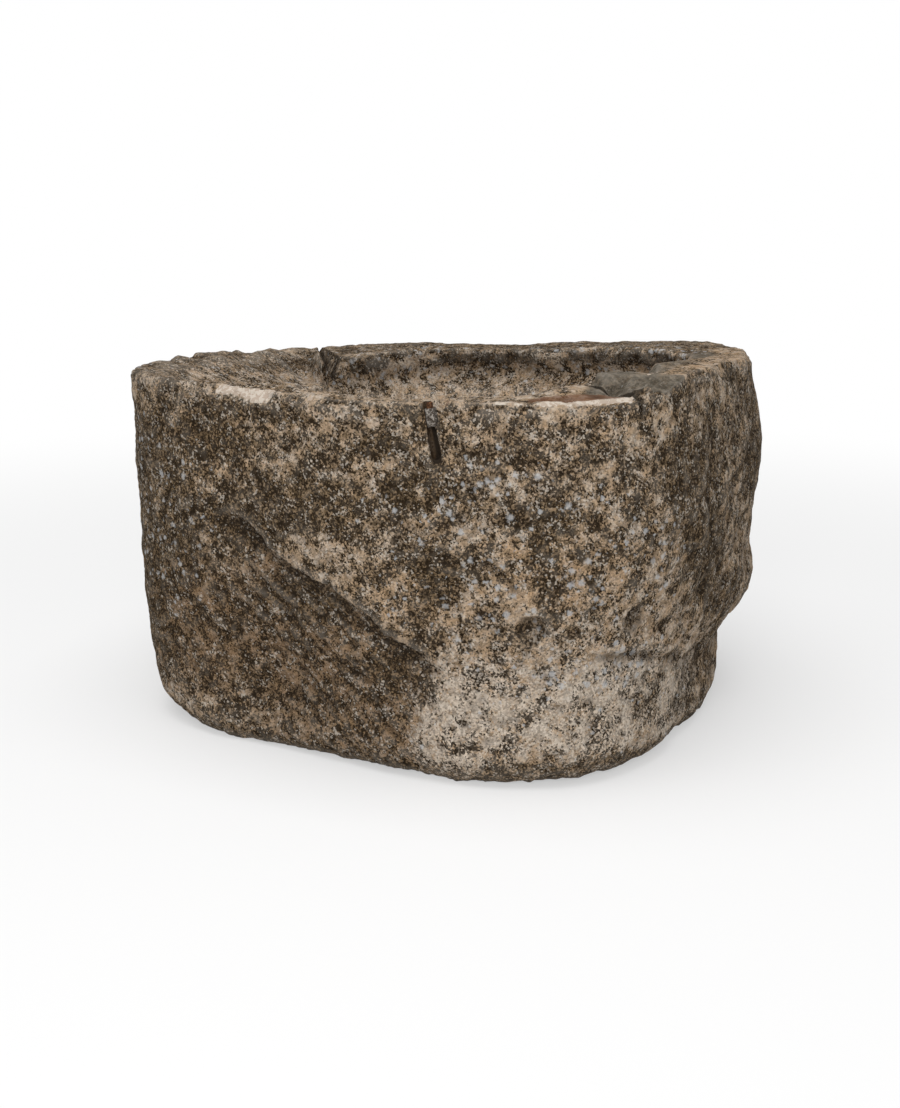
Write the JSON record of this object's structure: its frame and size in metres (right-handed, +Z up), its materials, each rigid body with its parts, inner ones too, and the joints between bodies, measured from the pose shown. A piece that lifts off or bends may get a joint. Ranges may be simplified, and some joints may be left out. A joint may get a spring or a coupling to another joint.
{
  "type": "stone trough",
  "caption": "Weathered limestone garden trough, cut from one block, with a battered basin and a rusted pin stub leaded into the front rim.",
  "frame": {"origin": "on the flat underside, at the middle of the block's plan, at ground level", "axes": "+Z up, -Y towards the front face with the pin hole, +X towards the narrow-walled right end"},
  "size_m": [0.9701, 0.8829, 0.6058],
  "materials": {
    "limestone": "weathered, pitted and lichened",
    "lead": "dull grey, oxidised",
    "rusted_iron": "rusted"
  },
  "bodies": {
    "root": {"limestone_block": "limestone", "lead_packing": "lead", "iron_pin_stub": "rusted_iron"}
  },
  "joints": []
}
